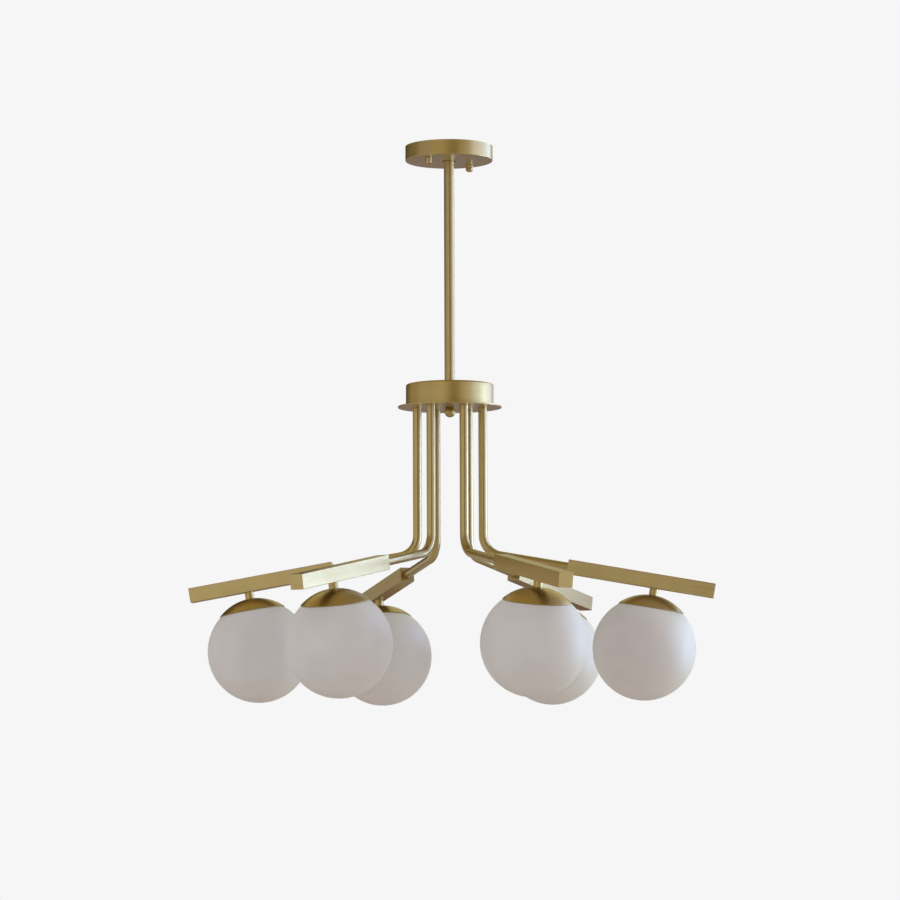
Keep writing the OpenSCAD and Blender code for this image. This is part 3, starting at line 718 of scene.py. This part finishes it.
add(tree, "OutputMaterial", {"Surface": milk.outputs["BSDF"]})

bpy.ops.object.select_all(action="DESELECT")
bpy.ops.mesh.primitive_uv_sphere_add(segments=128, ring_count=64, radius=GLOBE_R, location=(0, 0, GLOBE_AT))
globe = take_up("globe")
pick_faces(globe, every_face)
bpy.ops.mesh.bisect(plane_co=(0, 0, GLOBE_RIM), plane_no=(0, 0, 1), clear_outer=True)
apply_modifier(globe, "SOLIDIFY", thickness=GLASS, offset=-1.0, use_even_offset=True)
break_edges(globe, 0.3 * MM)
globe.data.materials.append(opal)
for k in range(1, 7):
    piece = hang_copy(globe, f"globe_{k}_glass", lamp_place(k))
    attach(piece, f"globe_{k}")
    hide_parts(f"globe_{k}")
bpy.data.objects.remove(globe)

# ---------------------------------------------------------------- studio
# A pale floor well below the lamp, and broad soft lamps from the right, the front left and, weakly, the front
# right. Glowing screens that only reflections see give the brass a room: windows, walls, ceiling and floor.

FLOOR_AT = -2.4
FLOOR_R = 7.0
LAMP_MIDDLE = (0, 0, -0.5)

bpy.ops.object.select_all(action="DESELECT")
bpy.ops.mesh.primitive_circle_add(vertices=96, radius=FLOOR_R, fill_type="NGON", location=(0, 0, FLOOR_AT))
floor = bpy.context.object
floor.name = "studio_floor"

# Matte floor paint, which fades into the plain backdrop between 1.5 m and 6.5 m from the middle.
floor_paint, tree = blank_material("pale_studio_floor")
place = add(tree, "TexCoord").outputs["Object"]
far = add(tree, "VectorMath", {0: place}, operation="LENGTH").outputs["Value"]
fade = add(tree, "MapRange", {"Value": far, "From Min": 1.5, "From Max": 6.5},
           interpolation_type="SMOOTHSTEP").outputs["Result"]
matte = add(tree, "BsdfPrincipled", {"Base Color": linear("#E8DED4"), "Roughness": 0.9})
plain = add(tree, "Emission", {"Color": linear("#F6F6F6"), "Strength": 1.0})
both = add(tree, "MixShader", {0: fade, 1: matte.outputs["BSDF"], 2: plain.outputs["Emission"]})
add(tree, "OutputMaterial", {"Surface": both.outputs["Shader"]})
floor.data.materials.append(floor_paint)


def aim(thing, at):
    """Turns a lamp or screen so that it looks at a point."""
    thing.rotation_euler = (Vector(at) - thing.location).to_track_quat("-Z", "Y").to_euler()


def soft_lamp(name, colour, watts, size, where):
    """A soft rectangular lamp that looks at the middle of the chandelier, and that nothing mirrors."""
    lamp = bpy.data.lights.new(name, "AREA")
    lamp.shape = "RECTANGLE"
    lamp.size, lamp.size_y = size
    lamp.energy = watts
    lamp.color = linear(colour)[:3]
    thing = bpy.data.objects.new(name, lamp)
    bpy.context.scene.collection.objects.link(thing)
    thing.location = where
    aim(thing, LAMP_MIDDLE)
    thing.visible_camera = False
    thing.visible_glossy = False


soft_lamp("daylight", "#DAFFEC", 18.2, (1.3, 1.9), (1.75, 0.4, -0.35))
soft_lamp("fill", "#DAFDF7", 7.0, (1.2, 1.6), (-1.7, -2.1, -0.3))
soft_lamp("fill_right", "#FFF8D8", 0.8, (0.8, 0.8), (1.2, -1.0, -0.6))


def card(name, colour, light, size, where, at):
    """A glowing screen that only reflections see, turned to face a point. At a light of 1 it looks as bright
    as paint of its colour."""
    bpy.ops.object.select_all(action="DESELECT")
    bpy.ops.mesh.primitive_plane_add(size=1, location=where)
    screen = bpy.context.object
    screen.name = name
    screen.scale = (*size, 1)
    aim(screen, at)
    paint, tree = blank_material(name + "_paint")
    glow = add(tree, "Emission", {"Color": linear(colour), "Strength": light})
    add(tree, "OutputMaterial", {"Surface": glow.outputs["Emission"]})
    screen.data.materials.append(paint)
    screen.visible_camera = False
    screen.visible_diffuse = False
    screen.visible_shadow = False


# The bright side, on the right: a tall window, a second one behind it over a brown bench, and a thin curtain
# in front of it.
card("window_low", "#A6C2FF", 12.3, (0.75, 1.05), (1.75, 0.375, -0.775), (0, 0.375, -0.775))
card("window_middle", "#A9BFFF", 2.65, (0.8, 0.3), (1.75, 0.5, -0.1), (0, 0.5, -0.1))
card("window_high", "#A5BCFF", 3.8, (0.8, 1.35), (1.75, 0.5, 0.725), (0, 0.5, 0.725))
card("second_window_low", "#A9BFFF", 4.3, (1.0, 0.35), (1.75, 1.4, -0.125), (0, 1.4, -0.125))
card("second_window_high", "#A7C2FF", 5.4, (1.0, 1.35), (1.75, 1.4, 0.725), (0, 1.4, 0.725))
card("window_bench", "#8C5A2A", 1.0, (1.15, 1.0), (1.75, 1.325, -0.8), (0, 1.325, -0.8))
card("curtain_middle", "#B3C0FF", 2.8, (0.95, 0.3), (1.75, -0.475, -0.1), (0, -0.475, -0.1))
card("curtain_high", "#B3C0FF", 3.2, (0.95, 1.35), (1.75, -0.475, 0.725), (0, -0.475, 0.725))
card("curtain_low", "#AAC4FF", 3.05, (0.95, 1.05), (1.75, -0.475, -0.775), (0, -0.475, -0.775))

# The walls on the left, from behind the lamp round to the camera. They are darker high up.
card("back_wall_high", "#33261F", 1.0, (2.2, 1.55), (-1.3, 2.3, 0.525), (0, 0, 0.525))
card("back_wall_low", "#AAA495", 1.0, (1.9, 1.0), (-1.15, 2.38, -0.75), (0.15, 0.08, -0.75))
card("side_wall_high", "#6E6668", 1.0, (1.9, 1.2), (-2.6, 0.8, 0.7), (0, 0, 0.7))
card("side_wall_middle", "#CABA9E", 1.0, (2.5, 0.4), (-2.51, 1.09, -0.1), (0.08, 0.306, -0.1))
card("side_wall_low", "#E8D7B8", 1.0, (2.5, 0.9), (-2.51, 1.09, -0.75), (0.08, 0.306, -0.75))
card("near_wall_high", "#BCBEDB", 1.0, (2.2, 1.2), (-2.5, -1.2, 0.7), (0, 0, 0.7))
card("near_wall_low", "#E7E3E0", 1.0, (2.2, 1.2), (-2.5, -1.2, -0.5), (0, 0, -0.5))

# The room behind the camera, the wall and floor behind the lamp, and the ceiling.
card("room_low_left", "#A69B78", 1.0, (1.6, 2.7), (0.3, -5.6, -0.9), (0.3, 0, -0.9))
card("room_low_right", "#957F6C", 1.0, (1.6, 2.7), (1.9, -5.6, -0.9), (1.9, 0, -0.9))
card("room_high_left", "#857B68", 1.0, (1.6, 1.4), (0.3, -5.6, 1.15), (0.3, 0, 1.15))
card("room_high_right", "#57524F", 1.0, (1.6, 1.4), (1.9, -5.6, 1.15), (1.9, 0, 1.15))
card("far_wall", "#9D9391", 1.0, (7.0, 2.3), (0, 6, -1.3), (0, 0, -1.3))
card("far_floor", "#7A5F40", 1.0, (6.0, 4.5), (0, 3.75, -2.35), (0, 3.75, 0))
card("ceiling_left", "#BBA676", 1.0, (5.0, 5.5), (-2.5, -1.75, 0.9), (-2.5, -1.75, -0.5))
card("ceiling_right", "#AA9E8A", 1.0, (5.0, 5.5), (2.5, -1.75, 0.9), (2.5, -1.75, -0.5))
card("ceiling_back", "#DCD4A0", 1.0, (10.0, 3.5), (0, 2.75, 0.9), (0, 2.75, -0.5))
card("ceiling_far", "#857C70", 1.0, (10.0, 4.0), (0, 6.5, 0.9), (0, 6.5, -0.5))

# The room's even light. The camera, mirrors and glass see the plain pale backdrop in its place.
ROOM_LIGHT = 0.63

world = bpy.data.worlds.new("studio")
bpy.context.scene.world = world
world.use_nodes = True
tree = world.node_tree
tree.nodes.clear()
path = add(tree, "LightPath").outputs
seen = add(tree, "Math", {0: path["Is Camera Ray"], 1: path["Is Glossy Ray"]}, operation="MAXIMUM")
seen = add(tree, "Math", {0: seen.outputs[0], 1: path["Is Transmission Ray"]}, operation="MAXIMUM")
room = add(tree, "Background", {"Color": linear("#FDFDFC"), "Strength": ROOM_LIGHT})
backdrop = add(tree, "Background", {"Color": linear("#F6F6F6"), "Strength": 1.0})
both = add(tree, "MixShader", {0: seen.outputs[0], 1: room.outputs[0], 2: backdrop.outputs[0]})
add(tree, "OutputWorld", {"Surface": both.outputs["Shader"]})
bpy.context.scene.view_settings.view_transform = "Standard"

# The camera stands five metres away, a little below the globes, and looks up.
CAMERA_AT = (0, -5.038, -0.912)
CAMERA_PITCH = 0.0928
CAMERA_ROLL = math.radians(-0.2)

lens = bpy.data.cameras.new("camera")
lens.sensor_width = 36
lens.lens = 140.2
lens.clip_end = 60
camera = bpy.data.objects.new("camera", lens)
bpy.context.scene.collection.objects.link(camera)
camera.matrix_world = (Matrix.Translation(CAMERA_AT)
                       @ Matrix.Rotation(math.pi / 2 + CAMERA_PITCH, 4, "X")
                       @ Matrix.Rotation(CAMERA_ROLL, 4, "Z"))
bpy.context.scene.camera = camera
